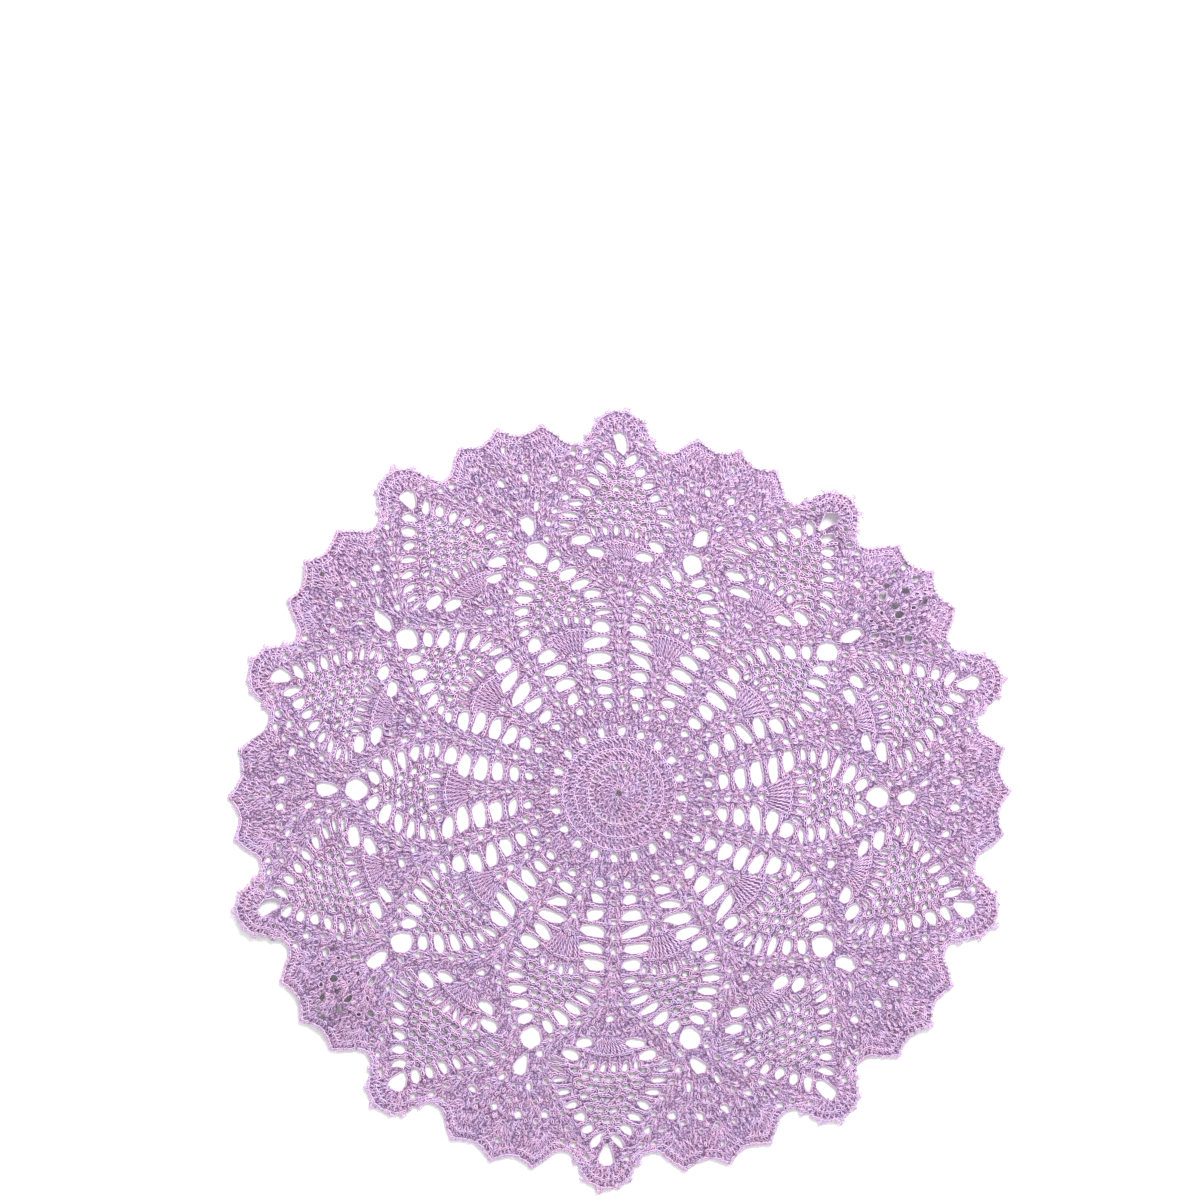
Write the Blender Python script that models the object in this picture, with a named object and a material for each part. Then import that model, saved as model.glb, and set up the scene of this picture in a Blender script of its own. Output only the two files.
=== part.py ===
"""A round crocheted lace doily of one lilac cotton thread, lying flat with a slightly ruffled rim.

The sheet is one solid: ten like repeats, each with a pineapple that ends in a point of the rim,
and between two of them a smaller pineapple under a group of three scallops. The gaps of the lace
over 4 mm are cut through. Places on the sheet are given as an angle, clockwise from the point at
the far side (+Y), and as a distance from the centre ring. X is to the right, +Z is the right side.
"""
import math
from collections import namedtuple

import bmesh
import bpy

MM = 0.001

# Driving sizes
REPEATS = 10
REPEAT_DEG = 360 / REPEATS
THICKNESS = 2 * MM              # a stitch is about two threads thick
CENTRE_HOLE = 3.8 * MM          # the ring that the first round is worked into
EVEN_REACH = 127 * MM           # inside this distance the rounds run more and more true
TWIST_DEG = 0.9                 # the whole lace lies turned by this much
SWIRL_DEG = 4.0                 # the first rounds lie turned further
SWIRL_REACH = 76 * MM           # up to here
EDGE_START = 148 * MM           # from here to the next the rim's own unevenness takes over
EDGE_FULL = 186 * MM
RUFFLE_STEP = 9 * MM            # the longest run between two points of a ruffle
RUFFLE_ROUNDS = 2               # how often longer runs are halved

LILAC = (0.552, 0.376, 0.584, 1.0)

# Gaps of one half repeat, from the middle line of a point (0) to that of the scallops (18).
# angle in degrees, the rest in millimetres; slant is how far the gap's long way leans.
Gap = namedtuple("Gap", "name angle reach width height slant sides")
GAPS = [
    Gap("ladder_1", 8.9, 53.5, 7.1, 4.9, 0, 8),
    Gap("ladder_2", 8.9, 61.9, 9.6, 5.4, 0, 8),
    Gap("ladder_3", 8.8, 70.2, 12.2, 5.8, 0, 8),
    Gap("ladder_4", 8.5, 78.7, 12.2, 5.3, 0, 8),
    Gap("inner_side_1", 6.3, 86.6, 9.4, 5.8, 0, 6),
    Gap("inner_side_4", 7.9, 104.5, 8.1, 3.7, -15, 6),
    Gap("inner_side_5", 10.1, 110.0, 8.9, 4.2, -21, 6),
    Gap("inner_side_6", 12.6, 115.9, 9.1, 4.7, -27, 6),
    Gap("inner_side_7", 15.1, 121.7, 8.9, 5.0, -42, 6),
    Gap("inner_tip", 18.0, 129.5, 11.6, 12.2, 0, 10),
    Gap("joint", 18.0, 144.3, 6.4, 9.8, 0, 8),
    Gap("outer_base_1", 5.8, 126.0, 9.3, 4.4, 3, 6),
    Gap("outer_base_2", 8.4, 132.9, 10.2, 5.4, -9, 6),
    Gap("outer_side_5", 3.3, 168.9, 7.1, 4.2, 39, 6),
    Gap("outer_side_6", 1.7, 174.4, 7.2, 4.0, 50, 6),
    Gap("outer_tip", 0.0, 182.2, 7.4, 11.0, 0, 8),
]

# The rim of half a repeat, from the point to the middle scallop.
Rim = namedtuple("Rim", "angle reach")
RIM = [
    Rim(0.0, 198.6),
    Rim(1.3, 197.9),
    Rim(2.4, 195.8),
    Rim(3.2, 192.0),
    Rim(4.0, 187.4),
    Rim(4.7, 184.6),
    Rim(5.3, 182.0),
    Rim(6.3, 181.3),
    Rim(7.6, 181.8),
    Rim(8.7, 184.4),
    Rim(9.9, 189.0),
    Rim(11.1, 192.0),
    Rim(11.9, 192.7),
    Rim(12.8, 191.4),
    Rim(14.4, 188.0),
    Rim(15.5, 189.6),
    Rim(16.8, 193.4),
    Rim(18.0, 195.4),
]
# A picot stands on each point, a little to the right of its middle.
PICOT = [Rim(0.7, 198.4), Rim(0.9, 201.0), Rim(1.5, 201.0), Rim(1.8, 197.4)]

# How the sheet lies unevenly, at every half repeat from the far point clockwise. The turns are
# in degrees and the reaches are shares of the even sheet's own, first inside the joints of the
# repeats and then at the rim.
Lie = namedtuple("Lie", "turn reach rim_turn rim_reach")
LIES = [
    Lie(0.8, 0.969, 0.4, 0.977), Lie(-0.1, 0.941, 1.5, 0.946),
    Lie(1.6, 0.955, 1.5, 0.956), Lie(1.8, 0.987, 0.8, 0.999),
    Lie(0.5, 1.020, 0.4, 1.023), Lie(0.6, 1.013, -0.5, 1.017),
    Lie(0.0, 1.007, 0.3, 1.015), Lie(0.7, 0.994, 0.5, 1.011),
    Lie(1.0, 1.003, 0.9, 1.006), Lie(1.6, 0.994, 1.3, 1.002),
    Lie(2.0, 1.009, 1.9, 1.008), Lie(1.7, 1.010, 1.3, 1.008),
    Lie(1.5, 1.010, 1.4, 1.009), Lie(1.6, 1.024, 0.5, 1.013),
    Lie(0.3, 1.020, 0.2, 1.021), Lie(1.0, 1.022, -0.5, 1.011),
    Lie(1.5, 0.997, 1.2, 0.994), Lie(0.3, 1.023, 0.5, 1.013),
    Lie(0.8, 1.005, 0.5, 1.006), Lie(-0.6, 0.994, -0.5, 0.996),
]

# Where the rim ruffles up off the surface: angle in degrees, the rest in millimetres.
Ruffle = namedtuple("Ruffle", "name angle reach spread height")
RUFFLES = [
    Ruffle("raised_point", 38, 186, 26, 4.5),
    Ruffle("puffed_scallops", 57, 172, 26, 5.0),
    Ruffle("puffed_scallops_opposite", 234, 174, 30, 5.0),
    Ruffle("lifted_edge", 251, 192, 24, 3.0),
    Ruffle("lifted_edge_small", 128, 190, 22, 2.0),
    Ruffle("lifted_edge_left", 306, 190, 22, 2.0),
]


def ease(share):
    """A share from 0 to 1 that leaves and arrives gently."""
    share = min(max(share, 0), 1)
    return share * share * (3 - 2 * share)


def smooth_between(values, angle):
    """A value that runs smoothly through values spaced evenly round the circle."""
    place = (angle % 360) / 360 * len(values)
    first = math.floor(place)
    part = place - first
    before, start, end, after = (values[(first + step) % len(values)] for step in (-1, 0, 1, 2))
    return start + 0.5 * part * (
        end - before
        + part * (2 * before - 5 * start + 4 * end - after + part * (3 * (start - end) + after - before))
    )


def lay(angle, reach):
    """The place on the surface, in metres, of a spot of the even lace."""
    lie = Lie(*(smooth_between(column, angle) for column in zip(*LIES)))
    edge = ease((reach - EDGE_START) / (EDGE_FULL - EDGE_START))
    turn = lie.turn + edge * (lie.rim_turn - lie.turn)
    stretch = lie.reach + edge * (lie.rim_reach - lie.reach)
    share = ease(reach / EVEN_REACH)
    turn = TWIST_DEG + share * (turn - TWIST_DEG) + SWIRL_DEG * max(0, 1 - reach / SWIRL_REACH)
    bearing = math.radians(angle + turn)
    reach *= 1 + share * (stretch - 1)
    return reach * math.sin(bearing), reach * math.cos(bearing)


def gap_outline(gap, angle):
    """A rounded slot of the gap's sides, level along the round and turned by its slant."""
    lean = math.radians(gap.slant)
    points = []
    for corner in range(gap.sides):
        turn = 2 * math.pi * (corner + (0.5 if gap.sides == 8 else 0)) / gap.sides
        across = gap.width / 2 * math.cos(turn) * 1.05
        along = gap.height / 2 * math.sin(turn) * 1.1
        level = (across * math.cos(lean) - along * math.sin(lean)) * MM
        outward = (across * math.sin(lean) + along * math.cos(lean)) * MM
        reach = gap.reach * MM + outward
        points.append(lay(angle + math.degrees(level / reach), reach))
    return points


def gap_outlines():
    """All gaps: each row stands on both sides of a point, or once where it is on a middle line."""
    outlines = []
    for repeat in range(REPEATS):
        middle = repeat * REPEAT_DEG
        for gap in GAPS:
            outlines.append(gap_outline(gap, middle + gap.angle))
            if 0 < gap.angle < REPEAT_DEG / 2:
                mirrored = gap._replace(slant=-gap.slant)
                outlines.append(gap_outline(mirrored, middle - gap.angle))
    return outlines


def centre_outline(sides=10):
    ring = CENTRE_HOLE / 2
    return [
        (ring * math.cos(2 * math.pi * corner / sides), ring * math.sin(2 * math.pi * corner / sides))
        for corner in range(sides)
    ]


def rim_outline():
    """The scalloped rim, once round."""
    half = [row for row in RIM if not PICOT[0].angle <= row.angle <= PICOT[-1].angle]
    left = [Rim(-row.angle, row.reach) for row in reversed(RIM[1:])]
    right = half[:1] + PICOT + half[1:-1]
    points = []
    for repeat in range(REPEATS):
        middle = repeat * REPEAT_DEG
        points += [lay(middle + row.angle, row.reach * MM) for row in left + right]
    return points


def lift(x, y):
    """How far the sheet's underside stands off the surface at a place."""
    height = 0.0
    for ruffle in RUFFLES:
        bearing = math.radians(ruffle.angle)
        away_x = x - ruffle.reach * MM * math.sin(bearing)
        away_y = y - ruffle.reach * MM * math.cos(bearing)
        share = math.hypot(away_x, away_y) / (ruffle.spread * MM)
        if share < 1:
            height += ruffle.height * MM * (1 - share * share) ** 2
    return height


def add_spline(curve, points, middle):
    spline = curve.splines.new("POLY")
    spline.points.add(len(points) - 1)
    for point, (x, y) in zip(spline.points, points):
        point.co = (x - middle[0], y - middle[1], 0, 1)
    spline.use_cyclic_u = True


def inner_edges(sheet):
    """The edges that lie within the sheet's two faces."""
    return [
        edge for edge in sheet.edges
        if all(abs(face.normal.z) > 0.9 for face in edge.link_faces)
    ]


def even_out(sheet):
    """Splits the two faces into triangles as near to even as their points allow."""
    bmesh.ops.triangulate(sheet, faces=sheet.faces)
    sheet.normal_update()
    faces = [face for face in sheet.faces if abs(face.normal.z) > 0.9]
    bmesh.ops.beautify_fill(sheet, faces=faces, edges=inner_edges(sheet))


def spans_ruffle(edge, middle):
    """True where an edge is long and its middle is lifted."""
    spot = (edge.verts[0].co + edge.verts[1].co) / 2
    return edge.calc_length() > RUFFLE_STEP and lift(spot.x + middle[0], spot.y + middle[1]) > 0.2 * MM


def thread_material():
    material = bpy.data.materials.new("lilac_cotton")
    material.use_nodes = True
    shader = material.node_tree.nodes["Principled BSDF"]
    shader.inputs["Base Color"].default_value = LILAC
    shader.inputs["Roughness"].default_value = 0.85
    shader.inputs["Metallic"].default_value = 0.0
    return material


def build_doily(collection):
    rim = rim_outline()
    middle = [(min(side) + max(side)) / 2 for side in zip(*rim)]

    curve = bpy.data.curves.new("doily_outline", "CURVE")
    curve.dimensions = "2D"
    curve.fill_mode = "BOTH"
    curve.extrude = THICKNESS / 2
    for outline in [rim, centre_outline()] + gap_outlines():
        add_spline(curve, outline, middle)
    flat = bpy.data.objects.new("doily_outline", curve)
    collection.objects.link(flat)
    bpy.context.view_layer.update()

    evaluated = flat.evaluated_get(bpy.context.evaluated_depsgraph_get())
    mesh = bpy.data.meshes.new_from_object(evaluated)
    bpy.data.objects.remove(flat)

    sheet = bmesh.new()
    sheet.from_mesh(mesh)
    bmesh.ops.remove_doubles(sheet, verts=sheet.verts, dist=0.001 * MM)
    even_out(sheet)
    for _ in range(RUFFLE_ROUNDS):
        long = [edge for edge in inner_edges(sheet) if spans_ruffle(edge, middle)]
        bmesh.ops.subdivide_edges(sheet, edges=long, cuts=1)
        even_out(sheet)
    for vertex in sheet.verts:
        vertex.co.z += THICKNESS / 2 + lift(vertex.co.x + middle[0], vertex.co.y + middle[1])
    bmesh.ops.recalc_face_normals(sheet, faces=sheet.faces)
    sheet.to_mesh(mesh)
    sheet.free()

    mesh.name = "doily"
    mesh.materials.clear()
    mesh.materials.append(thread_material())
    collection.objects.link(bpy.data.objects.new("doily", mesh))


for old in list(bpy.data.objects):
    bpy.data.objects.remove(old)
lace = bpy.data.collections.new("lace_doily")
bpy.context.scene.collection.children.link(lace)
build_doily(lace)
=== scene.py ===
"""The looks of a round lilac crocheted doily, made up of loops of cotton thread.

The doily is ten like repeats. Each piece is charted once, flat and even, in millimetres from the
centre ring, then copied round and laid as unevenly as the real one lies.
"""
import math
from collections import namedtuple

import bmesh
import bpy
import numpy as np
from mathutils.kdtree import KDTree
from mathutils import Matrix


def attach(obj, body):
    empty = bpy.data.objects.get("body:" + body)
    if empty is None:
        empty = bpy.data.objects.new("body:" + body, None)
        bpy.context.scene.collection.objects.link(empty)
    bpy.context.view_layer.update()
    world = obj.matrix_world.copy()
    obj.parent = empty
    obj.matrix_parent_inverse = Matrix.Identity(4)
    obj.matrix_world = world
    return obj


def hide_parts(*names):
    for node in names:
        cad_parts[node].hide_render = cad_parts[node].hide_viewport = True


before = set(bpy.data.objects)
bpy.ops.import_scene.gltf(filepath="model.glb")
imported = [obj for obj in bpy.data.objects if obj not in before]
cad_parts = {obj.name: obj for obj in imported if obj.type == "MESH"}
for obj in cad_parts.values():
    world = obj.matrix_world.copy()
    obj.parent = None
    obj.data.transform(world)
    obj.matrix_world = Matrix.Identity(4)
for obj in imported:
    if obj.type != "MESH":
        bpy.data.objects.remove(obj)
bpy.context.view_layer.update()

bpy.ops.object.select_all(action="DESELECT")

# ------------------------------
# The body of the lace. It is the tight inside of the stitches, cotton that shows only in the
# slits between them, and it is coloured dark as painted shade of those slits. It is one thin sheet
# with all the gaps of the lace, cut out of a flat outline, and it lies as the solid does.

MM = 0.001
REPEATS = 10
REPEAT_DEG = 360 / REPEATS
POINT = 0  # the middle line of a point, and that of the scallops, in degrees
SCALLOP = 18
BODY_THICKNESS = 0.6  # mm, as all sizes of the chart
BODY_MIDDLE = 0.65  # height of its middle over the table
BODY_INSET = 1.3  # it stays this far inside the rim
CAP_NORMAL = 0.9  # a face this upright is part of the top or underside
WELD = 0.001
CENTRE_HOLE = 3.0  # across the ring that the first round is worked into
EVEN_REACH = 127  # inside this reach the rounds run more and more true
TWIST_DEG = 0.9  # the whole lace lies turned by this much
SWIRL_DEG = 4.0  # the first rounds lie turned further,
SWIRL_REACH = 76  # up to this reach
EDGE_START = 148  # from here to the next the rim's own unevenness takes over
EDGE_FULL = 186

# The unevenness of the lie, at every half repeat from the far point clockwise: turns in degrees
# and reaches as shares of the even lace's own, first inside the rim and then at it.
Lie = namedtuple("Lie", "turn reach rim_turn rim_reach")
LIES = [
    Lie(0.8, 0.969, 0.4, 0.977), Lie(-0.1, 0.941, 1.5, 0.946),
    Lie(1.6, 0.955, 1.5, 0.956), Lie(1.8, 0.987, 0.8, 0.999),
    Lie(0.5, 1.020, 0.4, 1.023), Lie(0.6, 1.013, -0.5, 1.017),
    Lie(0.0, 1.007, 0.3, 1.015), Lie(0.7, 0.994, 0.5, 1.011),
    Lie(1.0, 1.003, 0.9, 1.006), Lie(1.6, 0.994, 1.3, 1.002),
    Lie(2.0, 1.009, 1.9, 1.008), Lie(1.7, 1.010, 1.3, 1.008),
    Lie(1.5, 1.010, 1.4, 1.009), Lie(1.6, 1.024, 0.5, 1.013),
    Lie(0.3, 1.020, 0.2, 1.021), Lie(1.0, 1.022, -0.5, 1.011),
    Lie(1.5, 0.997, 1.2, 0.994), Lie(0.3, 1.023, 0.5, 1.013),
    Lie(0.8, 1.005, 0.5, 1.006), Lie(-0.6, 0.994, -0.5, 0.996),
]

# Where the lace stands up off the table, at its rim and round its centre ring: angle in degrees,
# the rest in millimetres.
Ruffle = namedtuple("Ruffle", "name angle reach spread height")
RUFFLES = [
    Ruffle("raised_point", 38, 186, 26, 4.5),
    Ruffle("puffed_scallops", 57, 172, 26, 5.0),
    Ruffle("puffed_scallops_opposite", 234, 174, 30, 5.0),
    Ruffle("lifted_edge", 251, 192, 24, 3.0),
    Ruffle("lifted_edge_small", 128, 190, 22, 2.0),
    Ruffle("lifted_edge_left", 306, 190, 22, 2.0),
    Ruffle("raised_centre", 0, 0, 11, 1.8),
]

# The rim of half a repeat, from the point to the middle scallop: angle and reach.
RIM = [
    (0.0, 199.4), (0.9, 199.4), (1.7, 197.8), (2.5, 197.0), (3.2, 195.2), (3.4, 193.4),
    (3.9, 192.0), (4.15, 189.6), (4.3, 188.2), (4.9, 186.8), (5.2, 184.8), (5.5, 183.2),
    (6.2, 182.2), (7.0, 182.0), (7.8, 182.3), (8.6, 183.6), (9.3, 186.4), (10.3, 190.0),
    (11.6, 193.6), (12.7, 192.0), (14.7, 190.3), (16.3, 192.0), (18.0, 196.0),
]

# The gaps on one side of the point's middle line (0), up to that of the scallops (18): angle and
# slant in degrees, the rest in millimetres, but for drop, the share by which the inner end
# narrows. Each ladder is a row of gaps with chain bars between.
Gap = namedtuple("Gap", "angle reach width height slant drop", defaults=[0])
LADDER = [
    Gap(8.9, 46.0, 3.9, 3.9, 0), Gap(8.9, 53.5, 7.1, 4.9, 0), Gap(8.9, 61.9, 9.6, 5.4, 0),
    Gap(8.8, 70.2, 12.2, 5.8, 0), Gap(8.5, 78.7, 12.2, 5.3, 0), Gap(6.3, 86.6, 9.4, 5.8, 0),
    Gap(5.4, 94.4, 6.6, 2.8, 0), Gap(6.5, 99.1, 6.6, 2.9, -8), Gap(7.9, 104.5, 8.1, 3.7, -15),
    Gap(10.1, 110.0, 8.9, 4.2, -21), Gap(12.6, 115.9, 9.1, 4.7, -27),
    Gap(15.1, 121.7, 8.9, 5.0, -42),
]
OUTER_LADDER = [
    Gap(5.8, 126.0, 9.3, 4.6, 3), Gap(8.4, 132.9, 10.2, 5.6, -9), Gap(11.3, 137.2, 5.8, 1.9, 0),
    Gap(11.0, 141.6, 6.0, 2.1, 5), Gap(9.9, 146.3, 7.6, 2.5, 8), Gap(8.45, 151.9, 6.8, 3.1, 14),
    Gap(6.6, 157.8, 6.8, 3.4, 28), Gap(4.8, 163.1, 6.3, 3.7, 27), Gap(3.3, 168.9, 7.2, 4.3, 39),
    Gap(1.7, 174.4, 7.3, 4.2, 50),
]
SIDE_GAPS = [
    Gap(15.25, 153.5, 2.5, 5.0, 25), Gap(15.8, 168.8, 3.5, 4.4, 10),
    Gap(11.2, 165.3, 4.2, 3.2, 0), Gap(7.5, 177.3, 3.0, 3.0, 0), Gap(4.3, 119.1, 2.2, 2.2, 0),
]
MIDDLE_GAPS = [
    Gap(18, 129.5, 11.0, 12.2, 0, 0.45), Gap(18, 144.3, 6.4, 9.8, 0, 0.3),
    Gap(0, 181.6, 6.4, 11.0, 0, 0.45), Gap(18, 184.6, 2.6, 3.0, 0), Gap(0, 112.9, 4.1, 3.4, 0),
    Gap(0, 32.3, 4.3, 4.5, 0), Gap(18, 32.3, 4.3, 4.5, 0),
]

# The chain spaces in the middle of the shells, up the spokes by their reach, and along the
# flanks of the pineapples and over the scallops by angle and reach.
SPACE = 3.0
SMALL_SPACE = 2.1
SPOKE = [41.9, 48.5, 55.3, 65.0, 72.1, 79.5, 88.0, 95.7]
SHORT_SPOKE = SPOKE[:5]
FLANK = [
    (2.55, 105.6), (5.2, 111.7), (8.0, 116.5), (11.0, 122.3), (13.6, 127.7), (15.1, 136.0),
    (14.0, 143.5), (12.3, 149.2), (10.0, 155.6), (8.2, 162.9), (6.8, 170.3), (5.5, 177.9),
    (3.2, 183.6),
]
SCALLOP_SPACES = [(13.4, 161.2), (12.6, 170.0), (15.2, 176.1), (9.1, 171.3)]
MIDDLE_SPACES = [(0, 120.8), (18, 156.9), (18, 163.0), (18, 175.2)]

# Slits of the puffed scallops alone, at their angle from the far point and reach.
OPENED = [
    (50.6, 187.0), (53.4, 186.5), (50.4, 180.5), (53.8, 178.4), (51.0, 173.6), (54.6, 170.0),
    (57.2, 181.5), (232.4, 186.0), (235.0, 179.5), (231.6, 176.0), (234.2, 171.0),
]
OPENED_LIMITS = ((2.2, 3.2), (3.0, 4.6), (-40, 40))  # of their width, height and slant

# The slits of the dense second round, the slots over the fans, and the rows of chain loops, how
# many and at what reach, that narrow to the head of a pineapple.
SECOND_ROUND = Gap(9, 14.0, 1.7, 2.7, 0)
SLOTS = [
    Gap(16.4, 92.9, 2.4, 4.8, 3), Gap(13.2, 91.9, 2.4, 4.8, 8), Gap(10.0, 90.4, 2.2, 4.2, 14),
    Gap(1.15, 137.8, 2.4, 5.2, -2), Gap(3.45, 137.6, 2.4, 5.2, -6), Gap(5.75, 137.0, 2.3, 4.8, -10),
]
INNER_LOOPS = [(5, 97.4), (4, 102.7), (3, 108.1), (2, 113.6), (1, 119.2)]
OUTER_LOOPS = [(7, 142.6), (6, 147.7), (5, 153.0), (4, 158.4), (3, 163.6), (2, 168.9), (1, 174.1)]
INNER_PITCH = 6.2
OUTER_PITCH = 5.9
LOOP_WIDTH = 3.2
LOOP_HEIGHT = 2.6
LOOP_RISE = 1  # the middle loop of a row lies this far out from its reach
LOOP_BOW = 100  # a row drops by the square of the way along it over this
LOOP_SLANT = 0.5  # slant in degrees for each mm off the middle

# How each copy of a gap is pulled out of shape, as shares of its size, and what keeps it apart.
SEED = 7
SQUARE = 0.62  # how far its corners are pulled out
PULLS = (0.12, 0.09, 0.05)  # the first that leaves it room is taken
LARGE_SIZES = (0.90, 1.04)
SMALL_SIZES = (0.7, 1.2)
LARGE_SIDES = 9
SMALL_SIDES = 6
SMALL_AREA = 12  # square mm
GAP_MARGIN = 0.7  # a small gap needs this much thread between it and the next
NEAR_BY = 18  # gaps with middles farther apart than this can't meet
KEPT_APART = 0.8  # the least thread between a pulled gap and the next, or the rim
OPENED_APART = 3.4  # a small gap nearer than this to a slit is left out
TRACE_STEPS = 36  # places looked at round each gap, and along the rim
RIM_STEPS = 2000
CLOSING = 0.05  # a small gap closes by this share for each mm that the lace lifts,
MOST_CLOSED = 0.5  # and no further than this
SLIT_APART = 1.0  # a slit nearer than this to a gap is left out
SLIT_RIM = 0.4  # thread kept between a slit and the gap beside it
SLIT_ROOM = 2.2  # a slit with less room than this is made smaller


def spot(angle, reach):
    """The place in the even lace, in millimetres from the centre ring."""
    bearing = np.radians(angle)
    return np.stack((reach * np.sin(bearing), reach * np.cos(bearing)), -1)


def ease(share):
    share = np.clip(share, 0, 1)
    return share * share * (3 - 2 * share)


def smooth_between(values, angle):
    """Values that run smoothly through those spaced evenly round the circle."""
    values = np.array(values)
    place = (angle % 360) / 360 * len(values)
    first = np.floor(place).astype(int)
    part = place - first
    before, start, end, after = (values[(first + step) % len(values)] for step in (-1, 0, 1, 2))
    return start + 0.5 * part * (
        end - before
        + part * (2 * before - 5 * start + 4 * end - after + part * (3 * (start - end) + after - before))
    )


def lay(places):
    """Where places of the even lace lie on the table, in millimetres from the centre ring."""
    places = np.asarray(places, float)
    angle = np.degrees(np.arctan2(places[..., 0], places[..., 1]))
    reach = np.hypot(places[..., 0], places[..., 1])
    turn, stretch, rim_turn, rim_stretch = (smooth_between(column, angle) for column in zip(*LIES))
    edge = ease((reach - EDGE_START) / (EDGE_FULL - EDGE_START))
    turn = turn + edge * (rim_turn - turn)
    stretch = stretch + edge * (rim_stretch - stretch)
    share = ease(reach / EVEN_REACH)
    swirl = SWIRL_DEG * np.maximum(0, 1 - reach / SWIRL_REACH)
    angle = angle + TWIST_DEG + share * (turn - TWIST_DEG) + swirl
    return spot(angle, reach * (1 + share * (stretch - 1)))


def lift(laid):
    """How far the underside stands off the table at laid places, in millimetres."""
    height = np.zeros(laid.shape[:-1])
    for ruffle in RUFFLES:
        away = laid - spot(ruffle.angle, ruffle.reach)
        share = np.hypot(away[..., 0], away[..., 1]) / ruffle.spread
        height += ruffle.height * np.clip(1 - share * share, 0, 1) ** 2
    return height


def turned(places, angle):
    """Places of the even lace turned clockwise about the centre ring."""
    turn = math.radians(angle)
    x, y = places[..., 0], places[..., 1]
    across = x * math.cos(turn) + y * math.sin(turn)
    up = y * math.cos(turn) - x * math.sin(turn)
    return np.stack((across, up), -1)


def all_round(places):
    """The places of one repeat, copied round to all ten."""
    return np.concatenate([turned(np.asarray(places), REPEAT_DEG * k) for k in range(REPEATS)])


def gap_outline(gap, sides=8):
    """A rounded slot, turned by its slant, at its place in the even lace."""
    corners = 2 * math.pi * (np.arange(sides) + 0.5) / sides
    across = gap.width / 2 * np.cos(corners) * (1 + gap.drop * np.sin(corners))
    along = gap.height / 2 * np.sin(corners)
    lean = math.radians(gap.slant - gap.angle)
    level = across * math.cos(lean) - along * math.sin(lean)
    outward = across * math.sin(lean) + along * math.cos(lean)
    return spot(gap.angle, gap.reach) + np.stack((level, outward), -1)


def both_sides(gaps):
    """The gaps, and their mirror images on the other side of the point."""
    return gaps + [gap._replace(angle=-gap.angle, slant=-gap.slant) for gap in gaps]


def loop_gaps(middle, rows, pitch):
    """The gaps in rows of chain loops about a middle line, bowed outward there."""
    made = []
    for count, reach in rows:
        for k in range(count):
            off = (k - (count - 1) / 2) * pitch
            angle = middle + math.degrees(off / reach)
            bowed = reach + LOOP_RISE - off * off / LOOP_BOW
            made.append(Gap(angle, bowed, LOOP_WIDTH, LOOP_HEIGHT, off * LOOP_SLANT))
    return made


def rim_outline(inset=0.0):
    """The rim of one repeat, from the middle scallop on the left to that on the right."""
    row = [(-angle, reach) for angle, reach in reversed(RIM[1:])] + RIM[:-1]
    return np.array([spot(angle, reach - inset) for angle, reach in row])


def spaces(places, size):
    """Round gaps of one size, by angle and reach."""
    return [Gap(angle, reach, size, size, 0) for angle, reach in places]


def clear(places, gaps, margin):
    """True for places of about one repeat that lie this far inside the rim and off all the gaps."""
    angle = np.degrees(np.arctan2(places[..., 0], places[..., 1]))
    reach = np.hypot(places[..., 0], places[..., 1])
    rim_angles, rim_reaches = np.array(RIM).T
    off_middle = np.abs((angle + REPEAT_DEG / 2) % REPEAT_DEG - REPEAT_DEG / 2)
    fine = reach < np.interp(off_middle, rim_angles, rim_reaches) - margin
    for gap in gaps:
        for step in (-REPEAT_DEG, 0, REPEAT_DEG):
            turn = gap.angle + step
            if abs(turn) > REPEAT_DEG:
                continue
            away = places - spot(turn, gap.reach)
            lean = math.radians(gap.slant - turn)
            level = away[..., 0] * math.cos(lean) + away[..., 1] * math.sin(lean)
            outward = away[..., 1] * math.cos(lean) - away[..., 0] * math.sin(lean)
            across, along = gap.width / 2 + margin, gap.height / 2 + margin
            fine &= np.hypot(level / across, outward / along) > 1
    return fine


class Socket:
    """A socket of a shader tree. Sums with it add the nodes that work them out."""

    def __init__(self, socket):
        self.socket = socket
        self.tree = socket.id_data

    def node(self, kind, settings, inputs, output=0):
        """Adds a node of any kind, and gives one of its outputs."""
        new = self.tree.nodes.new(kind)
        for name, value in settings.items():
            setattr(new, name, value)
        for name, value in inputs.items():
            if isinstance(value, Socket):
                self.tree.links.new(value.socket, new.inputs[name])
            else:
                new.inputs[name].default_value = value
        return Socket(new.outputs[output])

    def __add__(self, other):
        return self.node("ShaderNodeMath", {"operation": "ADD"}, {0: self, 1: other})

    def __mul__(self, other):
        return self.node("ShaderNodeMath", {"operation": "MULTIPLY"}, {0: self, 1: other})

    __radd__ = __add__
    __rmul__ = __mul__

    def between(self, low, high):
        """0 at the low value and 1 at the high one, and no less or more outside them."""
        return self.node("ShaderNodeMapRange", {}, {"Value": self, "From Min": low, "From Max": high})

    def blend(self, low, high):
        """Goes from one colour to the other."""
        return self.node("ShaderNodeMix", {"data_type": "RGBA"}, {0: self, 6: low, 7: high}, 2)

    def tinted(self, tint):
        """A colour multiplied by another."""
        settings = {"data_type": "RGBA", "blend_type": "MULTIPLY"}
        return self.node("ShaderNodeMix", settings, {0: 1.0, 6: self, 7: tint}, 2)

    def noise(self, scale, detail):
        """Noise over the places that the socket gives."""
        inputs = {"Vector": self, "Scale": scale, "Detail": detail}
        return self.node("ShaderNodeTexNoise", {}, inputs)

    def feed(self, shader, name):
        self.tree.links.new(self.socket, shader.inputs[name])


# The inner cotton's colours. Both are darker than the thread as painted shade, and the deep one is
# painted at the cell edges as the shade in the slits between stitches.
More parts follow.
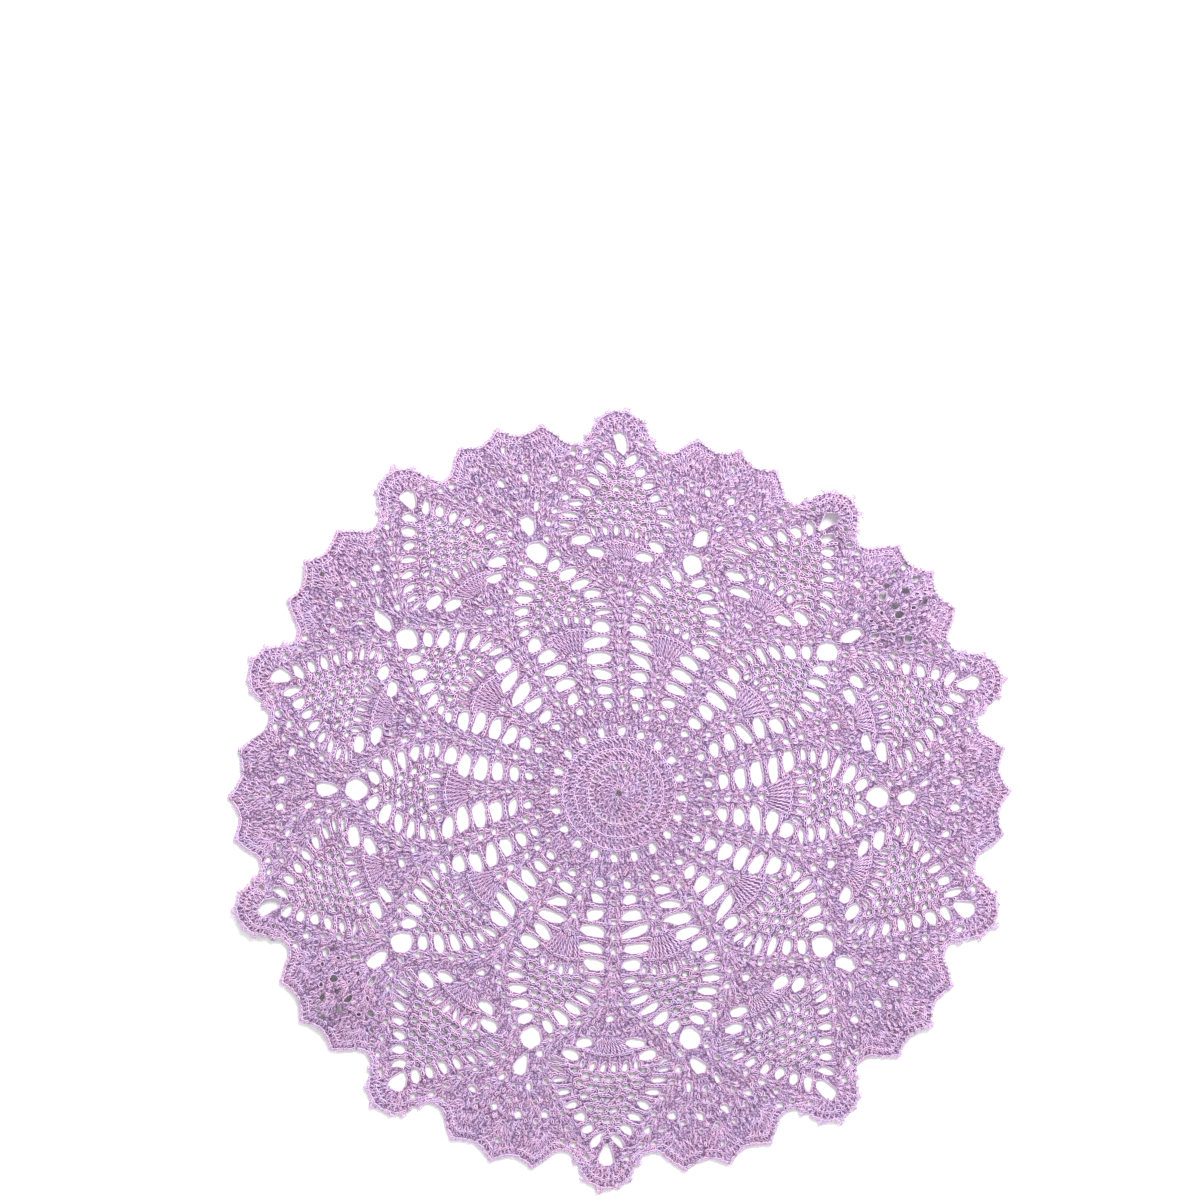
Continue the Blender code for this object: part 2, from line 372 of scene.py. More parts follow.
INSIDE_PALE = (0.42, 0.265, 0.445, 1)
INSIDE_PAINTED_SHADE = (0.09, 0.045, 0.11, 1)
CELLS = 640  # cells of the stitches' inside a metre, so about 1.5 mm each
SHADED_CELL_EDGE = (0.03, 0.2)  # from dark to pale, as shares of a cell
BLUISH = (0.91, 0.98, 1.0, 1)
PINKISH = (1.0, 0.955, 0.93, 1)
HUE_FLECKS = 288  # noise waves a metre, so flecks of about 3 mm
HUE_PATCHES = 60
FLECK_SHARE = 0.7
PATCH_SHARE = 0.3
HUE_RANGE = (0.38, 0.62)  # the noise that is all bluish, and all pinkish
COTTON_ROUGHNESS = 0.82


def cotton(name):
    """A new matt material, with its shader and flecks that run from bluish to pinkish."""
    material = bpy.data.materials.new(name)
    material.use_nodes = True
    shader = material.node_tree.nodes["Principled BSDF"]
    shader.inputs["Roughness"].default_value = COTTON_ROUGHNESS
    start = Socket(shader.inputs["Base Color"])
    place = start.node("ShaderNodeTexCoord", {}, {}, "Object")
    hue = place.noise(HUE_FLECKS, 2.0) * FLECK_SHARE + place.noise(HUE_PATCHES, 1.0) * PATCH_SHARE
    return material, shader, place, hue.between(*HUE_RANGE).blend(BLUISH, PINKISH)


inside, inside_shader, place, tint = cotton("inner_cotton_painted_shade")
cells = {"Vector": place, "Scale": CELLS}
# Painted shade: the edges of small cells are dark, standing in for the shade in the slits between
# stitches.
painted_slit_shade = place.node("ShaderNodeTexVoronoi", {"feature": "DISTANCE_TO_EDGE"}, cells)
shade = painted_slit_shade.between(*SHADED_CELL_EDGE).blend(INSIDE_PAINTED_SHADE, INSIDE_PALE)
shade.tinted(tint).feed(inside_shader, "Base Color")


def alone(piece):
    """Selects the piece and nothing else."""
    bpy.ops.object.select_all(action="DESELECT")
    piece.select_set(True)
    bpy.context.view_layer.objects.active = piece


def in_scene(name, data):
    """A new object in the scene, of a mesh, a curve, a light or a camera."""
    new = bpy.data.objects.new(name, data)
    bpy.context.collection.objects.link(new)
    return new


def add_line(curve, places):
    """Adds a closed line of straight steps through the places to a curve."""
    spline = curve.splines.new("POLY")
    spline.points.add(len(places) - 1)
    spline.points.foreach_set("co", np.c_[places, np.ones(len(places))].ravel())
    spline.use_cyclic_u = True


def cut_sheet(name, outlines):
    """A flat closed sheet of the body's thickness, with every outline after the first cut out."""
    curve = bpy.data.curves.new(name, "CURVE")
    curve.dimensions = "2D"
    curve.fill_mode = "BOTH"
    curve.extrude = BODY_THICKNESS / 2 * MM
    for outline in outlines:
        add_line(curve, np.c_[(lay(outline) - ring_centre) * MM, np.zeros(len(outline))])
    sheet = in_scene(name, curve)
    alone(sheet)
    bpy.ops.object.convert(target="MESH")
    return sheet


def is_cap(face):
    """True for a face of the sheet's top or underside, and not for one of its cut edges."""
    return abs(face.normal.z) > CAP_NORMAL


def even_out(sheet):
    """Welds the caps on and splits them into triangles as near to even as their points allow."""
    mesh = bmesh.new()
    mesh.from_mesh(sheet.data)
    bmesh.ops.remove_doubles(mesh, verts=mesh.verts, dist=WELD * MM)
    bmesh.ops.triangulate(mesh, faces=mesh.faces)
    mesh.normal_update()
    caps = [face for face in mesh.faces if is_cap(face)]
    edges = [edge for edge in mesh.edges if all(is_cap(face) for face in edge.link_faces)]
    bmesh.ops.beautify_fill(mesh, faces=caps, edges=edges)
    bmesh.ops.recalc_face_normals(mesh, faces=mesh.faces)
    mesh.to_mesh(sheet.data)
    mesh.free()


whole_rim = lay(all_round(rim_outline()))
ring_centre = (whole_rim.min(0) + whole_rim.max(0)) / 2
large_gaps = both_sides(LADDER + OUTER_LADDER + SIDE_GAPS) + MIDDLE_GAPS
small_gaps = both_sides(spaces(FLANK, SPACE) + SLOTS + [SECOND_ROUND])
small_gaps += both_sides(spaces(SCALLOP_SPACES, SMALL_SPACE))
small_gaps += spaces([(POINT, reach) for reach in SPOKE], SPACE)
small_gaps += spaces([(SCALLOP, reach) for reach in SHORT_SPOKE], SPACE)
small_gaps += spaces(MIDDLE_SPACES, SMALL_SPACE)
inner_loops = loop_gaps(SCALLOP, INNER_LOOPS, INNER_PITCH)
loops_of_pineapples = inner_loops + loop_gaps(POINT, OUTER_LOOPS, OUTER_PITCH)
small_gaps += loops_of_pineapples

# A small gap that would meet a large one or the next small one is left out.
lace_gaps = list(large_gaps)
for gap in small_gaps:
    if clear(gap_outline(gap), lace_gaps, GAP_MARGIN).all():
        lace_gaps.append(gap)

draw = np.random.default_rng(SEED)


def pulled(outline, about, amount):
    """An outline pulled out of shape, as no two gaps are alike."""
    away = outline - about
    squarer = 1 + SQUARE * np.abs(away / np.abs(away).max(0)).prod(1)
    turn = 2 * math.pi * np.arange(len(outline)) / len(outline)
    wave = np.cos(2 * turn + draw.uniform(0, 6)) + np.cos(3 * turn + draw.uniform(0, 6))
    size = draw.uniform(*LARGE_SIZES)
    if np.ptp(outline, 0).prod() < SMALL_AREA:
        size = draw.uniform(*SMALL_SIZES)
    away = away * (squarer * (1 + amount * wave) * size)[:, None]
    return about + away + away[:, ::-1] * draw.normal(0, amount)


def places_along(path, shares):
    """The places at shares of the way along a path."""
    path = np.asarray(path, float)
    marks = np.concatenate(([0], np.cumsum(np.hypot(*np.diff(path, axis=0).T))))
    return np.stack([np.interp(shares * marks[-1], marks, column) for column in path.T], -1)


def places_round(outline, steps):
    """Places evenly spaced all round a closed outline."""
    return places_along(np.concatenate((outline, outline[:1])), np.arange(steps) / steps)


def is_small(gap):
    return gap.width * gap.height <= SMALL_AREA


def nearest(places, place):
    """How far the nearest of the places is from one place."""
    return np.hypot(*(places - place).T).min()


# Each copy of a gap is pulled as far as it then still keeps off the others and the rim.
ring = spot(np.arange(0, 360, REPEAT_DEG), CENTRE_HOLE / 2)
body_rim = all_round(rim_outline(BODY_INSET))
rim_trace = places_round(body_rim, RIM_STEPS)
opened = np.array([spot(*place) for place in OPENED])
copies = []
for gap in lace_gaps:
    for k in range(REPEATS):
        middle = turned(spot(gap.angle, gap.reach), REPEAT_DEG * k)
        if not is_small(gap) or nearest(opened, middle) > OPENED_APART:
            copies.append((gap, REPEAT_DEG * k))
plains = [gap_outline(gap, SMALL_SIDES if is_small(gap) else LARGE_SIDES) for gap, _ in copies]
middles = np.array([turned(spot(gap.angle, gap.reach), turn) for gap, turn in copies])
traces = np.array([
    places_round(turned(plain, turn), TRACE_STEPS) for plain, (_, turn) in zip(plains, copies)
])
gap_rows, ringed = [], []
for number, (gap, turn) in enumerate(copies):
    plain = plains[number]
    middle = spot(gap.angle, gap.reach)
    near = np.hypot(*(middles - middles[number]).T) < NEAR_BY
    near[number] = False
    others = np.concatenate((traces[near].reshape(-1, 2), rim_trace))
    outline = turned(plain, turn)
    for amount in PULLS:
        trial = turned(pulled(plain, middle, amount), turn)
        trace = places_round(trial, TRACE_STEPS)
        if np.hypot(*(trace[:, None] - others).T).min() > KEPT_APART:
            outline = trial
            traces[number] = trace
            break
    closing = min(MOST_CLOSED, CLOSING * lift(lay(middles[number])))
    if np.ptp(plain[:, 0]) * np.ptp(plain[:, 1]) < SMALL_AREA:
        outline = middles[number] + (outline - middles[number]) * (1 - closing)
    gap_rows.append(outline)
    if gap not in loops_of_pineapples:
        ringed.append((outline, middles[number]))
for angle, reach in OPENED:
    slit = Gap(angle, reach, *(draw.uniform(*limits) for limits in OPENED_LIMITS))
    place = spot(angle, reach)
    apart = nearest(traces.reshape(-1, 2), place)
    if apart > SLIT_APART:
        outline = pulled(gap_outline(slit, SMALL_SIDES), place, PULLS[0])
        gap_rows.append(place + (outline - place) * min(1, (apart - SLIT_RIM) / SLIT_ROOM))
body = cut_sheet("lace_body", [body_rim, ring] + gap_rows)
even_out(body)
laid_body = np.array([vertex.co for vertex in body.data.vertices])
laid_body[:, 2] += (BODY_MIDDLE + lift(laid_body[:, :2] / MM + ring_centre)) * MM
body.data.vertices.foreach_set("co", laid_body.ravel())
body.data.update()
body.data.materials.clear()
body.data.materials.append(inside)
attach(body, "root")
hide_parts("doily")

# ------------------------------
# The rounds of the centre, cotton thread. A tall stitch is a loop twisted into a pair of strands
# and a chain stitch is a drop-shaped loop, bent once here and copied into every piece of lace.

THREAD = 0.85  # thickness
STRAND_OFF = 0.5  # how far each strand of a twisted loop lies off its middle
POST_LENGTH = 9.0
KNOT = 3.2  # length of a short twisted loop
LONGEST_KNOT = 5.8  # a longer stitch is one tall post
LONGEST_CHAIN = 2.3  # and one no longer than this is a chain stitch
LINK = 2.9  # length of a chain stitch
LINK_PITCH = 2.0  # from one chain stitch to the next, which starts inside it
PINCH = 0.35  # the ends of a twisted loop lie this far inside its length
STITCH_HEIGHT = 1.15  # height of its middle over the lace's underside
CHAIN_HEIGHT = 1.4
DRAWN_IN = 0.55  # width of a stitch's foot, as a share of its own
JITTER = 0.2  # how far the ends of a stitch stray, and its width and height
SIZE_JITTER = 0.08
ZIGZAG = 0.45  # how far the knots of a stitch lie off its line
KEPT_OFF = 0.3  # stitches end this far from a gap,
JOIN_SPACE = 0.45  # this far from the seam between two scallops,
OPENED_SPACE = 2.6  # and have their middle this far from that of a slit
SHORTEST = 1.2  # of a stitch that was cut back at a gap
CUT_STEPS = 13  # places along a stitch where it may be cut back
TAKEN_SHARES = (0.08, 0.92)  # the part of a stitch that covers the body,
TAKEN_STEPS = 7  # and how many places are noted along it
CELL_MARGIN = 0.04  # edge kept free in each stitch's square of the map named OFBake
WRAP = 1.0001  # where the map along a thread starts anew

# The thread's colours: pale at the tops of the strands, and deep low down as painted shade, mixed with
# random tone per stitch and flecks.
PALE = (0.70, 0.485, 0.725, 1)
DEEP_SHADE_AND_TONE = (0.24, 0.13, 0.27, 1)
THREAD_FLECKS = 960  # noise waves a metre
FLECK_RANGE = (0.32, 0.68)
SHADE_DEPTH_RANGE = (0.08, 0.56)  # from dark to pale, as shares of a strand's height
SHADE_DEPTH_SHARE = 0.65
TONE_SHARE = 0.15
THREAD_FLECK_SHARE = 0.6
PLY_WAVES = 2.0  # turns of the ply along one stitch
PLY_DEPTH = 0.0002
PLY_STRENGTH = 0.35

# The seam between two scallops, and the tall rounds: reach of the stitches' feet and tops, how
# many they are, and their lean as a share of the way to the next one.
JOIN = Gap(14.9, 183.5, 0.4, 8.5, 2)
Round = namedtuple("Round", "foot top count lean")
ROUNDS = [
    Round(2.0, 5.2, 18, 0.05), Round(5.2, 8.6, 26, 0.2), Round(8.6, 11.9, 36, 0.3),
    Round(16.2, 19.4, 54, 0.3), Round(19.3, 22.5, 62, 0.3), Round(22.4, 25.6, 72, 0.3),
    Round(25.5, 28.8, 80, 0.3),
]
CHAIN_ROUNDS = (16.0, 22.5, 28.8)
CHAIN_STEP_DEG = 12.0
HOLES = 20  # in the open round, and as many slits in the second round

# The stitches between two holes of the open round: step in millimetres at the reach given, and
# lean in degrees. Then the pairs between two slits of the second round, whose tops draw together.
PILLARS = ((-2.4, 0.5), (-1.0, -0.5), (1.0, 0.5), (2.4, -0.5))
PILLAR_REACH = 33
PILLAR_FOOT = 29.0
PILLAR_TOP = 35.2
PAIR_DEG = 3.6
PAIR_FOOT = (1.3, 12.3)  # share of that angle, and reach
PAIR_TOP = (0.7, 15.7)

Stitch = namedtuple("Stitch", "places faces along length")


def unit(step):
    return step / np.hypot(*step)


def closed_line(name, places):
    """A closed line of straight steps through the places, as a curve object."""
    curve = bpy.data.curves.new(name, "CURVE")
    curve.dimensions = "3D"
    add_line(curve, places)
    return in_scene(name, curve)


def bent_loop(name, places, length):
    """A stitch of one closed loop of thread through the places, as a tube of three sides."""
    corners = 2 * math.pi * np.arange(3) / 3
    triangle = np.stack((np.cos(corners), np.sin(corners), 0 * corners), -1)
    section = closed_line("section", triangle * THREAD / 2)
    loop = closed_line(name, places)
    loop.data.bevel_mode = "OBJECT"
    loop.data.bevel_object = section
    alone(loop)
    bpy.ops.object.convert(target="MESH")
    mesh = loop.data
    points = np.array([vertex.co for vertex in mesh.vertices])
    faces = np.array([face.vertices for face in mesh.polygons])
    along = np.array([corner.vector for corner in mesh.uv_layers[0].uv]).reshape(-1, 4, 2)
    bpy.data.objects.remove(loop)
    bpy.data.objects.remove(section)
    return Stitch(points, faces, along, length)


def twisted(name, length, steps, turns):
    """A long loop of thread, twisted into two strands that cross in the middle."""
    rise = np.linspace(PINCH, length - PINCH, steps)
    up = np.stack((np.full(steps, STRAND_OFF), rise), -1)
    down = np.stack((np.full(steps, -STRAND_OFF), rise[::-1]), -1)
    strand = np.concatenate((up, down))
    twist = 2 * math.pi * (turns * (strand[:, 1] / length - 0.5) + 0.25)
    places = np.stack((strand[:, 0] * np.cos(twist), strand[:, 1], strand[:, 0] * np.sin(twist)), -1)
    return bent_loop(name, places, length)


post = twisted("post", POST_LENGTH, steps=11, turns=2.4)
left_knot = twisted("left_knot", KNOT, steps=4, turns=-0.8)
right_knot = twisted("right_knot", KNOT, steps=4, turns=0.8)
drop = [(0.0, 0.1, -0.2), (0.55, 1.2, 0.0), (0.35, 2.6, 0.25), (-0.35, 2.6, 0.25), (-0.55, 1.2, 0.0)]
chain_stitch = bent_loop("chain_stitch", np.array(drop), LINK)


def stamped(stitch, feet, tops, widths, heights):
    """Copies of a stitch from their feet to their tops, in millimetres as laid."""
    foot = np.c_[feet, lift(feet) + heights]
    top = np.c_[tops, lift(tops) + heights]
    along = top - foot
    length = np.linalg.norm(along, axis=1, keepdims=True)
    along /= np.maximum(length, 1e-6)
    across = np.cross(along, (0, 0, 1.0))
    across /= np.linalg.norm(across, axis=1, keepdims=True)
    up = np.cross(across, along)
    x, y, z = stitch.places.T
    # The round ends keep their shape, and the straight middle takes up the difference in length.
    # A twisted stitch is drawn in at its foot.
    share = np.clip((y - THREAD) / (stitch.length - 2 * THREAD), 0, 1)
    run = y + share * (length - stitch.length)
    if stitch is not chain_stitch:
        x = x * (DRAWN_IN + (1 - DRAWN_IN) * np.sqrt(share))
    sideways = (x * widths[:, None])[..., None] * across[:, None]
    return foot[:, None] + sideways + run[..., None] * along[:, None] + z[None, :, None] * up[:, None]


def along_pairs(pairs, shares):
    """The places at shares of the way along each stitch."""
    return pairs[:, :1] + (pairs[:, 1:] - pairs[:, :1]) * np.asarray(shares)[None, :, None]


def on_lace(samples):
    """True for places that lie off the gaps and the seams, and inside the rim."""
    return clear(samples, lace_gaps, KEPT_OFF) & clear(samples, joins, JOIN_SPACE)


def longest_run(values):
    """Where the longest run of true values starts, and where it ends."""
    best, start = (0, 0), 0
    for k in range(len(values) + 1):
        if k == len(values) or not values[k]:
            if k - start > best[1] - best[0]:
                best = (start, k)
            start = k + 1
    return best


def shortened(pairs):
    """The stitches, each cut back to its longest part that lies off the gaps and inside the rim."""
    samples = along_pairs(pairs, np.linspace(0, 1, CUT_STEPS))
    kept = []
    for fine, places in zip(on_lace(samples), samples):
        start, end = longest_run(fine)
        if end > start + 2:
            stitch = np.array((places[start], places[end - 1]))
            if np.hypot(*(stitch[1] - stitch[0])) > SHORTEST:
                kept.append(stitch)
    return np.array(kept)


def knotted(pairs):
    """Stitches split into knots of about the same length, in a slight zigzag."""
    made = []
    for number, (foot, top) in enumerate(pairs):
        count = max(1, round(np.hypot(*(top - foot)) / KNOT))
        places = foot + (top - foot) * np.linspace(0, 1, count + 1)[:, None]
        sideways = ZIGZAG * (-1) ** number * unit(top - foot)[::-1] * (1, -1)
        places[1:-1] += sideways * ((-1.0) ** np.arange(count - 1))[:, None]
        made += list(zip(places[:-1], places[1:]))
    return np.array(made)


def mesh_of(name, places, faces, along, cells, tones, depth_shades):
    """One piece of thread from its points, in metres, its faces and its maps along the thread."""
    mesh = bpy.data.meshes.new(name)
    mesh.vertices.add(len(places))
    mesh.vertices.foreach_set("co", places.ravel())
    mesh.loops.add(faces.size)
    mesh.loops.foreach_set("vertex_index", faces.ravel())
    mesh.polygons.add(len(faces))
    mesh.polygons.foreach_set("loop_start", np.arange(0, faces.size, 4))
    mesh.update(calc_edges=True)
    mesh.uv_layers.new(name="thread").uv.foreach_set("vector", along.ravel())
    # In the map named OFBake each stitch has a square of its own.
    side = math.ceil(math.sqrt(cells.max() + 1))
    corner = np.stack((cells % side, cells // side), -1)
    inner = CELL_MARGIN + (1 - 2 * CELL_MARGIN) * (along % WRAP)
    baked = (corner[:, None] + inner) / side
    mesh.uv_layers.new(name="OFBake").uv.foreach_set("vector", baked.ravel())
    # The tone attribute is random per stitch; the depth attribute carries painted shade, darker low on
    # each strand.
    mesh.attributes.new("tone", "FLOAT", "POINT").data.foreach_set("value", tones)
    mesh.attributes.new("depth_shade", "FLOAT", "POINT").data.foreach_set("value", depth_shades)
    mesh.shade_smooth()
    mesh.materials.append(thread)
    piece = in_scene(name, mesh)
    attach(piece, "root")
    return piece


def crochet(name, pairs, once=False, whole=False):
    """One piece of stitches, each from a foot to a top.

    They are copied round, unless charted all round once, and split into knots, unless left whole.
    """
    pairs = np.asarray(pairs)
    if not once:
        pairs = shortened(pairs)
        samples = along_pairs(pairs, np.linspace(*TAKEN_SHARES, TAKEN_STEPS))
        worked.append(samples.reshape(-1, 2))
        pairs = all_round(pairs)
        off_slits = pairs.mean(1)[:, None] - opened
        pairs = pairs[np.hypot(*off_slits.T).min(0) > OPENED_SPACE]
    pairs = pairs + draw.normal(0, JITTER, pairs.shape)
    if not whole:
        pairs = knotted(pairs)
    laid = lay(pairs)
    odd = np.arange(len(laid)) % 2 == 1
    length = np.hypot(*(laid[:, 1] - laid[:, 0]).T)
    middling = (length > LONGEST_CHAIN) & (length <= LONGEST_KNOT)
    places, faces, along, cells, tones, depth_shades = [], [], [], [], [], []
    points = copies = 0
    for stitch, fits in (
        (post, length > LONGEST_KNOT), (left_knot, middling & odd), (right_knot, middling & ~odd),
        (chain_stitch, length <= LONGEST_CHAIN),
    ):
        ends = laid[fits]
        if not len(ends):
            continue
        height = STITCH_HEIGHT
        if stitch is chain_stitch:
            height = CHAIN_HEIGHT
            overlap = (ends[:, 1] - ends[:, 0]) * 0.5 * (LINK - LINK_PITCH) / LINK_PITCH
            ends = np.stack((ends[:, 0] - overlap, ends[:, 1] + overlap), 1)
        number = len(ends)
        size = len(stitch.places)
        widths = draw.normal(1.0, SIZE_JITTER, number)
        heights = height + draw.normal(0, SIZE_JITTER, number)
        places.append(stamped(stitch, ends[:, 0], ends[:, 1], widths, heights).reshape(-1, 3))
        corners = stitch.faces + size * np.arange(number)[:, None, None]
        faces.append(corners.reshape(-1, 4) + points)
        along.append(np.tile(stitch.along, (number, 1, 1)))
        cells.append(np.repeat(copies + np.arange(number), len(stitch.faces)))
        tones.append(np.repeat(draw.random(number), size))
        # Painted shade: each point of a stitch is darker the lower it lies in the stitch.
        height = stitch.places[:, 2]
        depth_shades.append(np.tile((height - height.min()) / np.ptp(height), number))
        points += number * size
        copies += number
    places = np.concatenate(places)
    places[:, :2] -= ring_centre
    maps = [np.concatenate(part) for part in (faces, along, cells, tones, depth_shades)]
    return mesh_of(name, places * MM, *maps)


def chain(path):
    """Chain stitches end to end along a path."""
    path = np.asarray(path, float)
    length = np.hypot(*np.diff(path, axis=0).T).sum()
    places = places_along(path, np.linspace(0, 1, max(1, round(length / LINK_PITCH)) + 1))
    return list(zip(places[:-1], places[1:]))


def row(feet, tops, count):
    """Tall stitches side by side, from one path to another, with a chain over their tops."""
    shares = (np.arange(count) + 0.5) / count
    heads = places_along(tops, shares)
    return list(zip(places_along(feet, shares), heads)) + chain(heads)


thread, thread_shader, place, tint = cotton("lilac_thread")
# The thread runs from deep to pale: painted shade by the depth attribute, darker low on each strand,
# plus random tone per stitch and flecks.
tone = place.node("ShaderNodeAttribute", {"attribute_name": "tone"}, {}, "Fac")
fleck = place.noise(THREAD_FLECKS, 2.0).between(*FLECK_RANGE)
depth_shade = place.node("ShaderNodeAttribute", {"attribute_name": "depth_shade"}, {}, "Fac").between(*SHADE_DEPTH_RANGE)
shade = depth_shade * SHADE_DEPTH_SHARE + tone * TONE_SHARE + fleck * THREAD_FLECK_SHARE
shade.blend(DEEP_SHADE_AND_TONE, PALE).tinted(tint).feed(thread_shader, "Base Color")
along_thread = place.node("ShaderNodeUVMap", {"uv_map": "thread"}, {})
waves = {"Vector": along_thread, "Scale": PLY_WAVES}
ply = place.node("ShaderNodeTexWave", {"bands_direction": "DIAGONAL"}, waves)
bump = {"Strength": PLY_STRENGTH, "Distance": PLY_DEPTH, "Height": ply}
place.node("ShaderNodeBump", {}, bump).feed(thread_shader, "Normal")

worked = []  # places that the stitches so far cover, in one repeat
joins = both_sides([JOIN])
stitches = []
for made in ROUNDS:
    steps = np.arange(made.count)
    leans = made.lean * np.where(steps % 2, 1, -1)
    feet = spot((steps + draw.random() - leans) * 360 / made.count, made.foot)
    tops = spot((steps + leans) * 360 / made.count, made.top)
    stitches += list(zip(feet, tops))
for reach in CHAIN_ROUNDS:
    stitches += chain(spot(np.arange(0, 361, CHAIN_STEP_DEG), reach))
for k in range(HOLES):
    hole = k * 360 / HOLES
    for step, lean in PILLARS:
        angle = hole + 180 / HOLES + math.degrees(step / PILLAR_REACH)
        stitches.append((spot(angle - lean, PILLAR_FOOT), spot(angle + lean, PILLAR_TOP)))
    for step in (-PAIR_DEG, PAIR_DEG):
        stitches.append([spot(hole + step * share, reach) for share, reach in (PAIR_FOOT, PAIR_TOP)])
crochet("stitches_centre", stitches, once=True)

# ------------------------------
# The spokes between the ladders, cotton thread. Each is a column of shells, fans of tall stitches
# out of one chain space with a new one in their middle.

SPOKE_START = 33.6
SPOKE_HALF = 5.1  # half the width of a shell
SMALL_SHELLS = 60  # up to this reach the shells have two stitches a side, then three
SHELL_BULGE = 30  # the tops drop by the square of their way off the middle over this
SHELL_RISE = 1.2  # how far the arc's middle lies beyond the space
SHELL_FOOT = 1.3  # the feet stand this far beyond the space that they come out of
FIRST_FOOT = 0.4  # how far to the side the first foot is, and the step to the next
FOOT_STEP = 0.6
FIRST_HEAD = 0.85  # from the edge of the new space to the first stitch beside it
LAST_HEAD = 0.7  # from the last stitch to the edge of the shell


def right_of(out):
    """The direction to the right of one that points outward."""
    return np.array((out[1], -out[0]))


def shell(foot, top, half, per_side):
    """Tall stitches that spread from one chain space, with a new chain space in their middle."""
    foot, top = np.array(foot), np.array(top)
    out = unit(top - foot)
    across = right_of(out)
    posts = []
    for side in (-1, 1):
        heads = np.linspace(SPACE / 2 + FIRST_HEAD, half - LAST_HEAD, per_side)
        for k, off in enumerate(heads):
            head = top + across * side * off + out * (SHELL_RISE - off * off / SHELL_BULGE)
            aside = across * side * (FIRST_FOOT + FOOT_STEP * k)
            posts.append((foot + aside + out * SHELL_FOOT, head))
    return posts


stitches = []
for angle, reaches in ((POINT, SPOKE), (SCALLOP, SHORT_SPOKE)):
    for low, high in zip([SPOKE_START] + reaches[:-1], reaches):
        per_side = 2 if high < SMALL_SHELLS else 3
        stitches += shell(spot(angle, low), spot(angle, high), SPOKE_HALF, per_side)
crochet("stitches_spokes", stitches)

# ------------------------------
# The ladders, cotton thread: a bar of chain stitches between each two gaps of a row, held by the
# shells at both its ends.

BAR_HOLD = 1.2  # how far each end of a bar runs past the gaps into the shells
BAR_BOW = 0.4


def bars(gaps):
    """A bar of chain between each two gaps of a row, on both sides of the middle line."""
    made = []
    for low, high in zip(both_sides(gaps)[:-1], both_sides(gaps)[1:]):
        if low.angle * high.angle < 0:
            continue
        low_top = spot(low.angle, low.reach + low.height / 2)
        high_foot = spot(high.angle, high.reach - high.height / 2)
        middle = (low_top + high_foot) / 2
        angle = math.degrees(math.atan2(*middle))
        lean = math.radians((low.slant + high.slant) / 2 - angle)
        half_width = (low.width + high.width) / 4 + BAR_HOLD
        half = np.array((math.cos(lean), math.sin(lean))) * half_width
        made += chain([middle - half, middle + unit(middle) * BAR_BOW, middle + half])
    return made


crochet("ladder_bars", bars(LADDER) + bars(OUTER_LADDER))

# ------------------------------
# The inner pineapples, cotton thread, on the short spokes: a fan, tall stitches with slots between
# them, then rows of chain loops, each with one loop less.

ARCH_RISE = 2.5  # the line over a loop gap: its bow, and where its ends lie
ARCH_ENDS = -0.2
SAG_DROP = 0.75  # the line under it
SAG_ENDS = 1.45
FOOT_SPLAY = 0.9  # turns of the feet as a share of those of the tops
INNER_FAN = 11  # stitches in a fan


def loops(middle, rows, pitch):
    """The rows of chain loops about a middle line: a wavy line over each row and one under it."""
    made = []
    turn = np.linspace(0, math.pi, 7)
    for gap in loop_gaps(middle, rows, pitch):
        centre = spot(gap.angle, gap.reach)
        out = unit(centre)
        across = np.outer(np.cos(turn), right_of(out)) * pitch / 2
        made += chain(centre - across + np.outer(ARCH_RISE * np.sin(turn) + ARCH_ENDS, out))
        made += chain(centre - across - np.outer(SAG_ENDS + SAG_DROP * np.sin(turn), out))
    return made


def splayed(middle, turns, feet, tops):
    """Tall stitches apart from each other, whose tops splay more than their feet."""
    feet = [spot(middle + turn * FOOT_SPLAY, reach) for turn, reach in zip(turns, feet)]
    tops = [spot(middle + turn, reach) for turn, reach in zip(turns, tops)]
    return list(zip(feet, tops)) + chain(tops)


def arc(angle, reach, half, drop, steps):
    """The places along a line that crosses a middle line, with its ends drawn in toward the centre."""
    out = spot(angle, 1)
    turns = np.linspace(-1, 1, steps)
    return [
        spot(angle, reach) + right_of(out) * half * turn - out * drop * turn * turn for turn in turns
    ]


fan_feet = arc(SCALLOP, 76.0, half=5.6, drop=2.4, steps=13)
fan_tops = arc(SCALLOP, 86.9, half=12.6, drop=3.0, steps=13)
stitches = row(fan_feet, fan_tops, INNER_FAN)
turns = np.array((-9.6, -6.4, -3.2, 0, 3.2, 6.4, 9.6))
stitches += splayed(SCALLOP, turns, 88.0 - turns ** 2 * 0.03, 95.4 - turns ** 2 * 0.04)
crochet("inner_fans", stitches, whole=True)
stitches = shell(spot(SCALLOP, 70.5), spot(SCALLOP, 73.5), half=5.0, per_side=2)
stitches += loops(SCALLOP, INNER_LOOPS, INNER_PITCH)
crochet("stitches_inner_pineapples", stitches)

# ------------------------------
# The outer pineapples, cotton thread, on the long spokes. They are worked as the inner ones are,
# from a wider fan.

OUTER_FAN = 12

